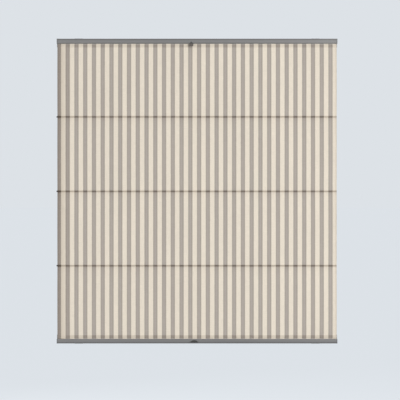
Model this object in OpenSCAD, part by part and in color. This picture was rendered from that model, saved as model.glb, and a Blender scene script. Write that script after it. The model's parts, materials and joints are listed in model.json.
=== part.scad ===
// Roman blind held under tension between four shoes, with two sliding rails and three cross rods.
// X runs along the rails, Y from the front to the back and Z up. The origin lies on the
// fixing face of the upper shoes, halfway between them. All sizes are in millimetres.

/* [Blind] */
// Width of each rail over its end caps
blind_w = 1000; // [500:1:1500]
// Height from the upper fixing face to the lower one
blind_h = 1087; // [700:1:1800]
// Gap between a fixing face and the rail beside it
edge_gap = 0.6; // [0.5:0.1:2]
// Distance from a rail's end to the line of the tension cord
cord_inset = 85; // [60:1:150]

/* [Rails] */
// Depth of both rails, from front to back
rail_d = 20; // [18:0.5:26]
// Height of the top rail
top_rail_h = 17.5; // [16:0.5:22]
// Height of the bottom rail
bottom_rail_h = 16; // [15.5:0.5:22]
// Wall of the extrusions
rail_wall = 1.3; // [1.1:0.1:1.5]
// Radius of the extrusions' long edges
rail_edge_r = 1.4; // [0.8:0.1:2]
// How far the middle of a rail's front face bulges before its edges
front_crown = 0.4; // [0.2:0.1:0.6]
// Height of the groove that holds the carrier strip
groove_h = 3; // [2.6:0.1:4]

/* [End caps] */
// Thickness of a cap's plate
cap_t = 2; // [1.5:0.1:4]
// How far a cap stands proud of the rail all round
cap_lip = 0.4; // [0:0.1:0.4]
// Length of the plug that holds a cap in the channel
cap_plug_l = 9; // [5:0.5:15]
// Chamfer round a cap's outer face and at the end of its plug
cap_chamfer = 0.7; // [0.3:0.1:1]

/* [Cloth] */
// Thickness of the cloth
cloth_t = 0.7; // [0.4:0.1:1]
// Distance from a rail's end to the cloth's side edge
cloth_inset = 2; // [1.5:0.1:6]
// Place of the cloth's middle plane; below zero it lies in front of the blind's centre plane
cloth_y = -3.6; // [-4.2:0.1:-3.2]
// How much shorter the first and last panels are than the others
end_panel_short = 5; // [0:0.5:12]
// How far the cloth reaches into a rail's slot
cloth_tuck = 0.8; // [0.4:0.1:1]

/* [Carrier strips] */
// Thickness of a carrier's blade
blade_t = 1; // [0.8:0.1:1.4]
// How far the upper blade hangs below the top rail
top_blade_drop = 12.5; // [8:0.5:18]
// How far the lower blade stands above the bottom rail
bottom_blade_rise = 15; // [8:0.5:18]
// Width of the bead that slides in the groove
bead_w = 6; // [5:0.1:7]
// Distance from a rail's end to the blade's end
blade_inset = 0.5; // [0.3:0.1:3]

/* [Cross rods] */
// Diameter of a rod
rod_dia = 4; // [3:0.5:4.5]
// How much longer a rod is over its two tips than the cloth is wide
rod_len_over_cloth = 4.3; // [0:0.1:8]
// How far the rods have slid to the left in their pockets
rod_shift = 1.65; // [0:0.05:2]
// Length of a tip
tip_l = 14; // [8:1:25]
// Wall of a tip round the rod
tip_wall = 0.7; // [0.6:0.1:1]
// Length of a ring's clip along the rod
clip_l = 6; // [4:0.5:10]
// Wall of a ring and of its clip
clip_wall = 1.2; // [1:0.1:1.5]
// Height of a ring's eye
eye_h = 4; // [3:0.5:6]
// Opening below a ring's clip, as a share of the rod's diameter
clip_mouth = 0.8; // [0.6:0.05:0.9]

/* [Shoes] */
// Length of a shoe along the rail
shoe_l = 30; // [26:1:45]
// Height of a shoe
shoe_h = 9; // [8:0.5:9.5]
// Radius of a shoe's upright edges
shoe_r = 3; // [1:0.5:5]
// Chamfer all round a shoe that leads a rail over it
shoe_lead = 1.2; // [0.5:0.1:2]
// Diameter of the screw hole
screw_dia = 3.6; // [3:0.1:4.5]
// Diameter of the countersink for the screw's head
screw_head_dia = 7.4; // [6:0.1:8.5]
// Distance from the cord's line to the screw, towards the rail's end
screw_offset = 14; // [12:0.5:20]

/* [Grips] */
// Width of the upper grip
top_grip_w = 13.5; // [12:0.5:40]
// Place of the upper grip's middle, left of the blind's middle
top_grip_x = 20.5; // [0:0.5:200]
// How far the upper grip hangs below the top rail
top_grip_drop = 10; // [5:0.5:14]
// Width of the lower grip
bottom_grip_w = 28; // [20:0.5:45]
// Place of the lower grip's middle, left of the blind's middle
bottom_grip_x = 10; // [0:1:200]
// How far the lower grip's lip stands above the bottom rail's lower edge
bottom_grip_rise = 4.5; // [0:0.5:5]
// How far the grips stand out from the rails
grip_reach = 9; // [6:0.5:14]
// Thickness of a grip's lip and foot
lip_t = 1.8; // [1.5:0.1:2.5]

/* [Fits] */
// Sliding clearance between a shoe and a rail's channel
shoe_clear = 0.4; // [0.3:0.05:0.6]
// Clearance of a loose fit, such as a rod in its pocket
loose_fit = 0.3; // [0.2:0.05:0.4]
// Clearance of a close fit, such as a plug in its hole
close_fit = 0.05; // [0.03:0.01:0.1]
// Diameter of the tension cord that the eyes, guides and shoes take
cord_dia = 1.2; // [0.8:0.1:1.4]

/* [Hidden] */
SIDES = ["left", "right"];

// Past a face that a cut goes through
over = 1;
smooth = 64;

// Heights of the rails' edges
top_open_z = -edge_gap;
top_inner_z = top_open_z - top_rail_h;
bottom_open_z = -blind_h + edge_gap;
bottom_inner_z = bottom_open_z + bottom_rail_h;

// The panels between the rails, and the height of each rod
cloth_h = top_inner_z - bottom_inner_z;
panel_h = (cloth_h + 2 * end_panel_short) / 4;
rod_z = [for (n = [1:3]) top_inner_z + end_panel_short - n * panel_h];

// Places across the depth
cloth_w = blind_w - 2 * cloth_inset;
cloth_front_y = cloth_y - cloth_t / 2;
cloth_back_y = cloth_y + cloth_t / 2;
blade_y = cloth_back_y + loose_fit + blade_t / 2;
slot_front_y = cloth_front_y - loose_fit;
slot_back_y = blade_y + blade_t / 2 + loose_fit;
groove_back_y = blade_y + bead_w / 2 + loose_fit;

// The rods, their pockets and their clips
rod_r = rod_dia / 2;
pocket_bore_r = rod_r + loose_fit;
pocket_r = pocket_bore_r + cloth_t;
pocket_neck = 0.6;
rod_y = cloth_back_y + pocket_neck + pocket_r;
tip_r = rod_r + close_fit + tip_wall;
rod_end_right = cloth_w / 2 + rod_len_over_cloth / 2 - rod_shift;
rod_end_left = -cloth_w / 2 - rod_len_over_cloth / 2 - rod_shift;
tip_floor = 2;
clip_r = rod_r + close_fit + clip_wall;
cord_bore_r = cord_dia / 2 + loose_fit + 0.2;
eye_r = cord_bore_r + clip_wall;
cord_y = rod_y + clip_r + cord_bore_r + clip_wall / 2;
cord_x = blind_w / 2 - cord_inset;
pocket_end_x = cloth_w / 2 - tip_l - 2 * rod_shift - loose_fit;
notch_l = clip_l + 4;

// The rails' inside
rail_len = blind_w - 2 * cap_t;
inner_d = rail_d - 2 * rail_wall;
crown_half = top_rail_h / 2;
crown_r = (crown_half * crown_half + front_crown * front_crown) / (2 * front_crown);
guide_r = cord_bore_r + 1.3;
guide_flange_r = guide_r + 0.6;
guide_flange_t = 1;

// The shoes
shoe_d = inner_d - 2 * shoe_clear;
shoe_mid_x = cord_x + screw_offset / 2;
screw_x = cord_x + screw_offset;
screw_sink = (screw_head_dia - screw_dia) / 2;
knot_r = 2.4;
knot_depth = 3;

rail_grey = [0.52, 0.52, 0.53];
cap_grey = [0.38, 0.39, 0.39];
grip_grey = [0.27, 0.28, 0.28];
cloth_cream = [0.88, 0.84, 0.76];

// Where a rail's web starts, from the rail's open edge
function channel_depth(h) = h - 2 * rail_wall - groove_h;

// Points along an arc
function arc(centre, r, from, to, steps = 8) = [
    for (i = [0:steps]) let (a = from + (to - from) * i / steps)
        [centre[0] + r * cos(a), centre[1] + r * sin(a)]
];

// Points along the front of a grip, a quarter of an ellipse that leaves the rail's face upright
// and sweeps out to the lip; a positive gap gives the line that far behind it
function sweep_out(face, reach, from, to, gap = 0, first = 0, last = 90, steps = 10) = [
    for (i = [0:steps]) let (a = first + (last - first) * i / steps)
        [face - reach + (reach + gap) * cos(a), from + (to - from + sign(to - from) * gap) * sin(a)]
];

// Mirrors the right-hand pieces to the left
module on_side(side) {
    mirror([side == "left" ? 1 : 0, 0, 0]) children();
}

// Puts a piece that is drawn from its rail's open edge downwards at the top or bottom rail
module at_rail(end) {
    if (end == "top")
        translate([0, 0, top_open_z]) children();
    else
        translate([0, 0, bottom_open_z]) mirror([0, 0, 1]) children();
}

// Sweeps a section drawn in Y and Z along X, centred
module along_x(length) {
    rotate([90, 0, 90]) linear_extrude(height = length, center = true) children();
}

// A rectangle from corner to corner with exact round corners
module rounded_rect(low, high, r) {
    w = high[0] - low[0];
    h = high[1] - low[1];
    translate(low) {
        translate([r, 0]) square([w - 2 * r, h]);
        translate([0, r]) square([w, h - 2 * r]);
        for (x = [r, w - r]) for (y = [r, h - r])
            translate([x, y]) circle(r = r, $fn = smooth);
    }
}

// The outline of a rail's section: round long edges and a softly crowned front
module rail_outline(h, grow = 0) {
    intersection() {
        rounded_rect([-rail_d / 2 - grow, -h - grow], [rail_d / 2 + grow, grow], rail_edge_r + grow);
        translate([-rail_d / 2 - grow + crown_r, -h / 2]) circle(r = crown_r, $fn = 256);
    }
}

// The whole section: the open channel for the shoes, the carrier's groove and slot, and the
// hollow behind the groove
module rail_section(h) {
    depth = channel_depth(h);
    groove_low = -h + rail_wall;
    difference() {
        rail_outline(h);
        translate([-inner_d / 2, -depth]) square([inner_d, depth + over]);
        translate([-inner_d / 2, groove_low]) square([groove_back_y + inner_d / 2, groove_h]);
        translate([slot_front_y, -h - over])
            square([slot_back_y - slot_front_y, rail_wall + over + loose_fit]);
        translate([groove_back_y + rail_wall, groove_low])
            square([inner_d / 2 - groove_back_y - rail_wall, groove_h]);
    }
}

// A rail of one end, with the two holes that its cord guides fill
module rail(end, h) {
    color(rail_grey) at_rail(end) difference() {
        along_x(rail_len) rail_section(h);
        for (x = [-cord_x, cord_x])
            translate([x, cord_y, -h - over]) cylinder(r = guide_r + close_fit, h = h, $fn = smooth);
    }
}

// A bar's outline from one end to the other, with chamfers at its far end
module chamfered_end(from, to, low, high, chamfer) {
    polygon([
        [from, low], [to - chamfer, low], [to, low + chamfer],
        [to, high - chamfer], [to - chamfer, high], [from, high]
    ]);
}

// An end cap: a plate with the rail's outline and a chamfered face, and a plug that fills the
// bottom of the channel, hollow in its middle and chamfered where it goes in
module cap(end, side, h) {
    depth = channel_depth(h);
    plug_h = depth / 2;
    out = blind_w / 2;
    half_d = rail_d / 2 + cap_lip;
    plug_half = inner_d / 2 - close_fit;
    color(cap_grey) at_rail(end) on_side(side) {
        intersection() {
            translate([out - cap_t / 2, 0, 0]) along_x(cap_t) rail_outline(h, cap_lip);
            translate([0, 0, -h - over]) linear_extrude(height = h + 2 * over)
                chamfered_end(out - cap_t - over, out, -half_d, half_d, cap_chamfer);
            rotate([90, 0, 0]) linear_extrude(height = 2 * rail_d, center = true)
                chamfered_end(out - cap_t - over, out, -h - cap_lip, cap_lip, cap_chamfer);
        }
        intersection() {
            translate([rail_len / 2 - cap_plug_l / 2, 0, 0]) along_x(cap_plug_l) difference() {
                translate([-plug_half, -depth + close_fit]) square([2 * plug_half, plug_h]);
                translate([-inner_d / 2 + 3 * rail_wall, -depth + 2 * rail_wall])
                    square([inner_d - 6 * rail_wall, depth]);
            }
            translate([0, 0, -h]) linear_extrude(height = h) mirror([1, 0])
                chamfered_end(-out, cap_plug_l - rail_len / 2, -plug_half, plug_half, cap_chamfer);
        }
    }
}

// A cord guide: a flanged bush through the web and the lip, with a bell mouth at each end
module guide(end, side, h) {
    low = -h;
    high = -channel_depth(h);
    mouth = 0.5;
    color(cap_grey) at_rail(end) on_side(side) translate([cord_x, cord_y, 0])
        rotate_extrude($fn = smooth) polygon([
            [cord_bore_r + mouth, low],
            [guide_r, low],
            [guide_r, high],
            [guide_flange_r, high],
            [guide_flange_r, high + guide_flange_t],
            [cord_bore_r + mouth, high + guide_flange_t],
            [cord_bore_r, high + guide_flange_t - mouth],
            [cord_bore_r, low + mouth]
        ]);
}

// A tension shoe, drawn with its fixing face at zero and its body below: a rounded block with a
// countersunk screw hole, a cord hole under a pocket for the knot, and a slot that lets the cord in
module shoe_body() {
    half_l = shoe_l / 2;
    half_d = shoe_d / 2;
    difference() {
        intersection() {
            translate([0, 0, -shoe_h]) linear_extrude(height = shoe_h)
                rounded_rect([-half_l, -half_d], [half_l, half_d], shoe_r);
            along_x(shoe_l) polygon([
                [-half_d, 0], [-half_d, -shoe_h + shoe_lead], [-half_d + shoe_lead, -shoe_h],
                [half_d - shoe_lead, -shoe_h], [half_d, -shoe_h + shoe_lead], [half_d, 0]
            ]);
            rotate([90, 0, 0]) linear_extrude(height = 2 * rail_d, center = true) polygon([
                [-half_l, 0], [-half_l, -shoe_h + shoe_lead], [-half_l + shoe_lead, -shoe_h],
                [half_l - shoe_lead, -shoe_h], [half_l, -shoe_h + shoe_lead], [half_l, 0]
            ]);
        }
        translate([screw_x - shoe_mid_x, 0, -shoe_h - over])
            cylinder(d = screw_dia, h = shoe_h + 2 * over, $fn = smooth);
        translate([screw_x - shoe_mid_x, 0, -shoe_h - over])
            cylinder(d = screw_head_dia, h = over + 0.6, $fn = smooth);
        translate([screw_x - shoe_mid_x, 0, -shoe_h + 0.6])
            cylinder(d1 = screw_head_dia, d2 = screw_dia, h = screw_sink, $fn = smooth);
        translate([cord_x - shoe_mid_x, cord_y, -shoe_h - over])
            cylinder(r = cord_bore_r, h = shoe_h + 2 * over, $fn = smooth);
        translate([cord_x - shoe_mid_x, cord_y, -knot_depth])
            cylinder(r = knot_r, h = knot_depth + over, $fn = smooth);
        translate([cord_x - shoe_mid_x - cord_dia / 2, cord_y, -shoe_h - over])
            cube([cord_dia, half_d, shoe_h + 2 * over]);
    }
}

// One of the four shoes
module shoe(end, side) {
    color(cap_grey) on_side(side) translate([shoe_mid_x, 0, 0]) {
        if (end == "top")
            shoe_body();
        else
            translate([0, 0, -blind_h]) mirror([0, 0, 1]) shoe_body();
    }
}

// A carrier strip: a bead that slides in the groove, and the blade that holds the cloth's end
module carrier(end, h, blade_out) {
    bead_len = rail_len - 2 * loose_fit;
    bead_low = -h + rail_wall;
    bead_h = groove_h - 2 * loose_fit;
    blade_low = -h - blade_out;
    step = cap_lip + loose_fit;
    color(cap_grey) at_rail(end) {
        along_x(bead_len) {
            translate([blade_y - bead_w / 2, bead_low + loose_fit]) square([bead_w, bead_h]);
            translate([blade_y - blade_t / 2, blade_low]) square([blade_t, blade_out + h + bead_low + bead_h]);
        }
        along_x(blind_w - 2 * blade_inset)
            translate([blade_y - blade_t / 2, blade_low]) square([blade_t, blade_out - step]);
    }
}

// The upper grip: a small fin on the rail's lower front edge that sweeps down and out into a
// finger lip, with a foot that hooks under the rail in front of the cloth
module upper_grip() {
    face = -rail_d / 2;
    apex = -top_rail_h * 0.55;
    low = -top_rail_h - top_grip_drop;
    reach = grip_reach - lip_t / 2;
    foot_low = -top_rail_h - lip_t;
    foot_back = cloth_front_y - loose_fit - 1;
    foot_turn = asin((apex - foot_low) / (apex - low));
    half_w = top_grip_w / 2;
    corner_r = 3;
    color(grip_grey) at_rail("top") translate([-top_grip_x, 0, 0]) difference() {
        intersection() {
            along_x(top_grip_w) polygon(concat(
                sweep_out(face, reach, apex, low + lip_t),
                arc([face - reach, low + lip_t / 2], lip_t / 2, 110, 250),
                sweep_out(face, reach, apex, low + lip_t, lip_t, 90, foot_turn),
                [[foot_back, foot_low], [foot_back, -top_rail_h]],
                [[face + 2, -top_rail_h], [face + 2, apex]]
            ));
            rotate([90, 0, 0]) linear_extrude(height = 4 * rail_d, center = true) polygon(concat(
                arc([0, apex - 1], 1, 30, 150),
                [[-half_w, -top_rail_h]],
                arc([-half_w + corner_r, low + corner_r], corner_r, 180, 270),
                arc([half_w - corner_r, low + corner_r], corner_r, 270, 360),
                [[half_w, -top_rail_h]]
            ));
        }
        along_x(2 * top_grip_w) rail_outline(top_rail_h, close_fit);
    }
}

// The lower grip: a shell with an arched outline on the rail's front, hollow behind its lip
module lower_grip() {
    face = -rail_d / 2;
    apex = bottom_grip_rise - bottom_rail_h * 0.76;
    half_w = bottom_grip_w / 2;
    arch_r = (half_w * half_w + apex * apex) / (-2 * apex);
    plate_t = 1.2;
    first = acos(lip_t / (grip_reach + lip_t));
    last = acos((grip_reach - plate_t) / (grip_reach + lip_t));
    color(grip_grey) at_rail("bottom") translate([-bottom_grip_x, 0, 0]) difference() {
        translate([0, 0, -bottom_grip_rise]) difference() {
            intersection() {
                along_x(bottom_grip_w) polygon(concat(
                    sweep_out(face, grip_reach, apex, -lip_t),
                    [[face - grip_reach + 0.3, 0], [face + 2, 0], [face + 2, apex]]
                ));
                rotate([90, 0, 0]) linear_extrude(height = 4 * rail_d, center = true) intersection() {
                    translate([0, apex + arch_r]) circle(r = arch_r, $fn = 128);
                    translate([-half_w, apex]) square([bottom_grip_w, -apex]);
                }
            }
            along_x(bottom_grip_w - 4 * lip_t) polygon(concat(
                sweep_out(face, grip_reach, apex, -lip_t, lip_t, first, last, 6),
                [[face - plate_t, over], [face - grip_reach + lip_t, over]]
            ));
        }
        along_x(2 * bottom_grip_w) rail_outline(bottom_rail_h, close_fit);
    }
}

// The cloth: a flat sheet with a rod pocket behind each fold, open where a ring clips on the rod
module cloth_sheet() {
    color(cloth_cream) difference() {
        union() {
            translate([-cloth_w / 2, cloth_front_y, bottom_inner_z - cloth_tuck])
                cube([cloth_w, cloth_t, cloth_h + 2 * cloth_tuck]);
            for (z = rod_z) {
                translate([0, rod_y, z]) along_x(2 * pocket_end_x) circle(r = pocket_r, $fn = smooth);
                translate([-pocket_end_x, cloth_y, z - cloth_t])
                    cube([2 * pocket_end_x, rod_y - cloth_y - pocket_bore_r, 2 * cloth_t]);
            }
        }
        for (z = rod_z) {
            translate([0, rod_y, z]) along_x(cloth_w) circle(r = pocket_bore_r, $fn = smooth);
            for (x = [-cord_x, cord_x])
                translate([x - notch_l / 2, cloth_back_y, z - pocket_r - over])
                    cube([notch_l, 2 * pocket_r + over, 2 * (pocket_r + over)]);
        }
    }
}

// A cross rod
module rod(n) {
    color("silver") translate([-rod_shift, rod_y, rod_z[n - 1]]) rotate([0, 90, 0])
        cylinder(r = rod_r, h = cloth_w + rod_len_over_cloth - 2 * tip_floor, center = true, $fn = smooth);
}

// A rod's tip: a blind sleeve with a rounded end
module tip(n, side) {
    end_x = side == "left" ? rod_end_left : rod_end_right;
    turn = side == "left" ? 90 : -90;
    round_r = 1;
    color(grip_grey) translate([end_x, rod_y, rod_z[n - 1]]) rotate([0, turn, 0])
        rotate_extrude($fn = smooth) {
            difference() {
                square([tip_r, tip_l]);
                translate([-over, tip_floor]) square([rod_r + close_fit + over, tip_l]);
                translate([tip_r - round_r, -over]) square([round_r + over, round_r + over]);
            }
            intersection() {
                translate([tip_r - round_r, round_r]) circle(r = round_r, $fn = smooth);
                translate([0, 0]) square([tip_r, tip_floor]);
            }
        }
}

// A ring: a clip that snaps on the rod from above, and an upright eye for the cord
module ring(n, side) {
    bridge_y = cord_y - rod_y;
    mouth = clip_mouth * rod_dia;
    color(cap_grey) on_side(side) translate([cord_x, rod_y, rod_z[n - 1]]) difference() {
        union() {
            rotate([0, 90, 0]) cylinder(r = clip_r, h = clip_l, center = true, $fn = smooth);
            translate([0, bridge_y, 0]) cylinder(r = eye_r, h = eye_h, center = true, $fn = smooth);
            translate([-eye_r, 0, -eye_h / 2]) cube([2 * eye_r, bridge_y, eye_h]);
        }
        rotate([0, 90, 0]) cylinder(r = rod_r + close_fit, h = clip_l + 2 * over, center = true, $fn = smooth);
        translate([0, bridge_y, 0]) cylinder(r = cord_bore_r, h = eye_h + 2 * over, center = true, $fn = smooth);
        translate([-clip_l, -mouth / 2, -clip_r - over]) cube([2 * clip_l, mouth, clip_r + over]);
    }
}

rail("top", top_rail_h);  // top_rail
rail("bottom", bottom_rail_h);  // bottom_rail
for (s = SIDES) {
    cap("top", s, top_rail_h);
    cap("bottom", s, bottom_rail_h);
    guide("top", s, top_rail_h);
    guide("bottom", s, bottom_rail_h);
    shoe("top", s);
    shoe("bottom", s);
    for (n = [1:3]) {
        tip(n, s);
        ring(n, s);
    }
}
for (n = [1:3]) rod(n);
carrier("top", top_rail_h, top_blade_drop);  // top_carrier
carrier("bottom", bottom_rail_h, bottom_blade_rise);  // bottom_carrier
upper_grip();  // top_grip
lower_grip();  // bottom_grip
cloth_sheet();  // fabric
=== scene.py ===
"""Looks of a tensioned roman blind: striped cloth, slim anodised rails and small dark fittings.

Lengths are in metres, in the part's own axes: X runs along the rails, Y from the front to the
back and Z up. The cloth is built here, in five panel pieces and three rod pockets, each parented
to the body of a rod, of the shoes or of the bottom rail.
"""

import json
import logging
import math
from collections.abc import Sequence
from dataclasses import dataclass, field
from enum import Enum
from functools import partial, reduce

import bpy
import numpy as np
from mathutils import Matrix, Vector


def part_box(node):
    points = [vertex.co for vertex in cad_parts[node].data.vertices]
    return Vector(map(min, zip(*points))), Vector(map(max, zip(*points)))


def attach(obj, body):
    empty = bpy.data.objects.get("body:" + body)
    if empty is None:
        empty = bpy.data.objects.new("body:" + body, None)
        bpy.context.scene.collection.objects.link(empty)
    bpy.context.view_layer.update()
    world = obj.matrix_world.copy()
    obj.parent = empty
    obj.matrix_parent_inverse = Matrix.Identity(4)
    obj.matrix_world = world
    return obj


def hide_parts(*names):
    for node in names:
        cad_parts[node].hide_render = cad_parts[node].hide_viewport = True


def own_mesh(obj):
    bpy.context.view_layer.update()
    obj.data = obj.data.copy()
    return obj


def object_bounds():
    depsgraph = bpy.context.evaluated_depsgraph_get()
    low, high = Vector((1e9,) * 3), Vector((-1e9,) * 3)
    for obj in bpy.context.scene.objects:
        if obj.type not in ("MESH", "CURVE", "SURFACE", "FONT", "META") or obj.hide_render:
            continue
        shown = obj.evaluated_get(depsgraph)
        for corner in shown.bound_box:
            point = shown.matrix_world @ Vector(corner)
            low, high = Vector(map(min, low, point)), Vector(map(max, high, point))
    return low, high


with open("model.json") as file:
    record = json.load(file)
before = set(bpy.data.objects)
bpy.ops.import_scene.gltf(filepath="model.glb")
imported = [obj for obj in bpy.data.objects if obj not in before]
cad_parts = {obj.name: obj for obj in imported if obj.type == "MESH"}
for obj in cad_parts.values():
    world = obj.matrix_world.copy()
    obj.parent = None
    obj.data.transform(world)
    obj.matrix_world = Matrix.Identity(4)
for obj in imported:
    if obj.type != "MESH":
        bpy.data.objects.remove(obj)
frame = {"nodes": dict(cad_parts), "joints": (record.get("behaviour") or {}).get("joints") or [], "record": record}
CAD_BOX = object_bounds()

LOG = logging.getLogger("roman_blind")
MM = 0.001

Colour = tuple[float, float, float]
Point = tuple[float, float, float]
Span = tuple[float, float]
Socket = bpy.types.NodeSocket
Signal = float | Socket
Value = Signal | Sequence[float]


def linear(red: float, green: float, blue: float) -> Colour:
    """Turns a display colour, 0 to 255 a channel, into a linear one for the shaders."""
    shares = (channel / 255 for channel in (red, green, blue))
    return tuple(s / 12.92 if s <= 0.04045 else ((s + 0.055) / 1.055) ** 2.4 for s in shares)


def near(away: np.ndarray, reach: float) -> np.ndarray:
    """Falls from 1 at a line to almost 0 at twice the reach from it."""
    return np.exp(-((away / reach) ** 2))


def fading(away: np.ndarray, reach: float) -> np.ndarray:
    """Falls from 1 at a line to about a third with each reach away from it."""
    return np.exp(-away / reach)


def within(away: np.ndarray, edge: float, fade: float) -> np.ndarray:
    """Falls from 1, a fade before an edge, to 0 at the edge."""
    return np.clip((edge - away) / fade, 0.0, 1.0)


def length_along(path: np.ndarray) -> np.ndarray:
    """Measures how far along a path each of its points lies."""
    return np.concatenate([[0.0], np.cumsum(np.linalg.norm(np.diff(path, axis=0), axis=1))])


def add_object(name: str, data: bpy.types.ID) -> bpy.types.Object:
    """Makes an object and links it to the scene.

    Args:
        name: The object's name.
        data: Its mesh, lamp or camera.

    Returns:
        The object.
    """
    made = bpy.data.objects.new(name, data)
    bpy.context.scene.collection.objects.link(made)
    return made


@dataclass
class NodeGraph:
    """A node tree, filled in by short calls."""

    tree: bpy.types.NodeTree

    def node(self, kind: str, **settings: object) -> bpy.types.Node:
        """Adds a node and sets its properties.

        Args:
            kind: The node's type, without the leading ShaderNode.
            **settings: Properties of the node.

        Returns:
            The new node.
        """
        made = self.tree.nodes.new(f"ShaderNode{kind}")
        for key, value in settings.items():
            setattr(made, key, value)
        return made

    def feed(self, target: Socket, value: Value) -> None:
        """Links a socket into another, or writes a plain value there.

        Args:
            target: The input.
            value: A socket, a number or a row of numbers.
        """
        if isinstance(value, bpy.types.NodeSocket):
            self.tree.links.new(value, target)
        else:
            target.default_value = value

    def result(self, kind: str, *values: Value, **settings: object) -> Socket:
        """Adds a node and feeds its first inputs.

        Args:
            kind: The node's type, without the leading ShaderNode.
            *values: A socket or a plain value for each input.
            **settings: Properties of the node.

        Returns:
            Its first output.
        """
        made = self.node(kind, **settings)
        for slot, value in zip(made.inputs, values):
            self.feed(slot, value)
        return made.outputs[0]

    def math(self, operation: str, first: Signal, second: Signal = 0.0) -> Socket:
        """Works out one sum of two signals, with the Math node's operation."""
        return self.result("Math", first, second, operation=operation)

    def seen(self) -> Socket:
        """Tells the rays from the camera and in reflections from those that only light.

        Returns:
            A socket with 1 for the former and 0 for the others.
        """
        rays = self.node("LightPath").outputs
        mirrored = self.math("MAXIMUM", rays["Is Glossy Ray"], rays["Is Transmission Ray"])
        return self.math("MAXIMUM", rays["Is Camera Ray"], mirrored)


class ShaderGraph(NodeGraph):
    """A material's node tree, filled in by short calls.

    Most of a noise lies in the middle of 0 to 1, so a ramp uses one of two stretches of it.
    """

    MIDDLE = (0.3, 0.7)
    WIDE = (0.25, 0.75)
    GLOSS_CHANGES = (-0.05, 0.06)
    WARMTH = (1.0, 1.1, 1.2)

    def __init__(self, name: str) -> None:
        """Makes the material with one Principled shader.

        Args:
            name: The material's name.
        """
        self.material = bpy.data.materials.new(name)
        self.material.use_nodes = True
        super().__init__(self.material.node_tree)
        self.surface = next(n for n in self.tree.nodes if n.type == "BSDF_PRINCIPLED")

    def coat(self, colour: Socket, roughness: Signal, specular: float = 0.5) -> None:
        """Gives the surface its main values.

        Args:
            colour: Its colour.
            roughness: Its roughness.
            specular: How strongly it reflects.
        """
        values = {"Base Color": colour, "Roughness": roughness, "Specular IOR Level": specular}
        for name, value in values.items():
            self.feed(self.surface.inputs[name], value)

    def add(self, *signals: Signal) -> Socket:
        """Adds signals together, from the first to the last."""
        return reduce(partial(self.math, "ADD"), signals)

    def multiply(self, *signals: Signal) -> Socket:
        """Multiplies signals together, from the first to the last."""
        return reduce(partial(self.math, "MULTIPLY"), signals)

    def wave(self, place: Signal, length: float) -> Socket:
        """Makes a sine wave of a given length along a coordinate."""
        return self.math("SINE", self.multiply(place, 2 * math.pi / length))

    def ramp(self, value: Signal, low: float, high: float, out_low: float, out_high: float) -> Socket:
        """Maps a signal smoothly from one range to another, and holds it at the ends."""
        ends = (low, high, out_low, out_high)
        return self.result("MapRange", value, *ends, interpolation_type="SMOOTHSTEP")

    def swing(self, value: Signal, spread: float, stretch: Span = MIDDLE) -> Socket:
        """Turns a stretch of noise into a change of up to a spread, to both sides of zero."""
        return self.ramp(value, *stretch, -spread, spread)

    def uneven_gloss(self, value: Signal, roughness: float, stretch: Span = MIDDLE) -> Socket:
        """Varies a roughness a little with a stretch of noise."""
        return self.ramp(value, *stretch, *(roughness + change for change in self.GLOSS_CHANGES))

    def noise(self, vector: Socket, scale: Point, detail: float = 2.0) -> Socket:
        """Makes soft random variation from 0 to 1.

        Args:
            vector: The coordinate.
            scale: How often the noise changes in a metre along each axis.
            detail: How many finer layers it has.

        Returns:
            The noise's socket.
        """
        stretched = self.node("Mapping")
        self.feed(stretched.inputs["Vector"], vector)
        self.feed(stretched.inputs["Scale"], scale)
        made = self.node("TexNoise", noise_dimensions="3D")
        self.feed(made.inputs["Vector"], stretched.outputs["Vector"])
        self.feed(made.inputs["Scale"], 1.0)
        self.feed(made.inputs["Detail"], detail)
        return made.outputs["Fac"]

    def blend(self, share: Signal, first: Socket | Colour, second: Socket | Colour) -> Socket:
        """Mixes two colours.

        Args:
            share: How much of the second colour shows.
            first: The colour at 0.
            second: The colour at 1.

        Returns:
            The mixed colour's socket.
        """
        made = self.node("Mix", data_type="RGBA")
        self.feed(made.inputs["Factor"], share)
        for slot, colour in ((made.inputs["A"], first), (made.inputs["B"], second)):
            self.feed(slot, (*colour, 1.0) if isinstance(colour, tuple) else colour)
        return made.outputs["Result"]

    def plain(self, colour: Colour) -> Socket:
        """Gives one colour as a socket."""
        return self.blend(0.0, colour, colour)

    def dim(self, colour: Socket, factor: Signal) -> Socket:
        """Multiplies a colour by a number.

        Args:
            colour: The colour.
            factor: The number.

        Returns:
            The new colour's socket.
        """
        made = self.node("VectorMath", operation="SCALE")
        self.feed(made.inputs[0], colour)
        self.feed(made.inputs["Scale"], factor)
        return made.outputs["Vector"]

    def warmed(self, colour: Socket, factor: Signal) -> Socket:
        """Darkens a colour for painted shade, so that it also turns warmer, as thick cloth does in its own shade.
        """
        shares = self.result("CombineXYZ", *(self.math("POWER", factor, p) for p in self.WARMTH))
        return self.result("VectorMath", colour, shares, operation="MULTIPLY")

    def relief(self, height: Socket, depth: float, strength: float) -> None:
        """Bumps the surface.

        Args:
            height: The height, from 0 to 1.
            depth: How many metres one unit of height stands for.
            strength: How strongly the bump shows.
        """
        made = self.node("Bump")
        self.feed(made.inputs["Strength"], strength)
        self.feed(made.inputs["Distance"], depth)
        self.feed(made.inputs["Height"], height)
        self.feed(self.surface.inputs["Normal"], made.outputs["Normal"])

    def axes(self, vector: Socket) -> tuple[Socket, Socket, Socket]:
        """Splits a coordinate into its three numbers.

        Args:
            vector: The coordinate.

        Returns:
            The sockets of X, Y and Z.
        """
        split = self.node("SeparateXYZ")
        self.feed(split.inputs[0], vector)
        return tuple(split.outputs)

    def place(self) -> Socket:
        """Gives the object's own coordinate, in metres."""
        return self.node("TexCoord").outputs["Object"]

    def share_up(self) -> Socket:
        """Gives how far up the object a point lies, from 0 to 1."""
        return self.axes(self.node("TexCoord").outputs["Generated"])[2]

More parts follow.
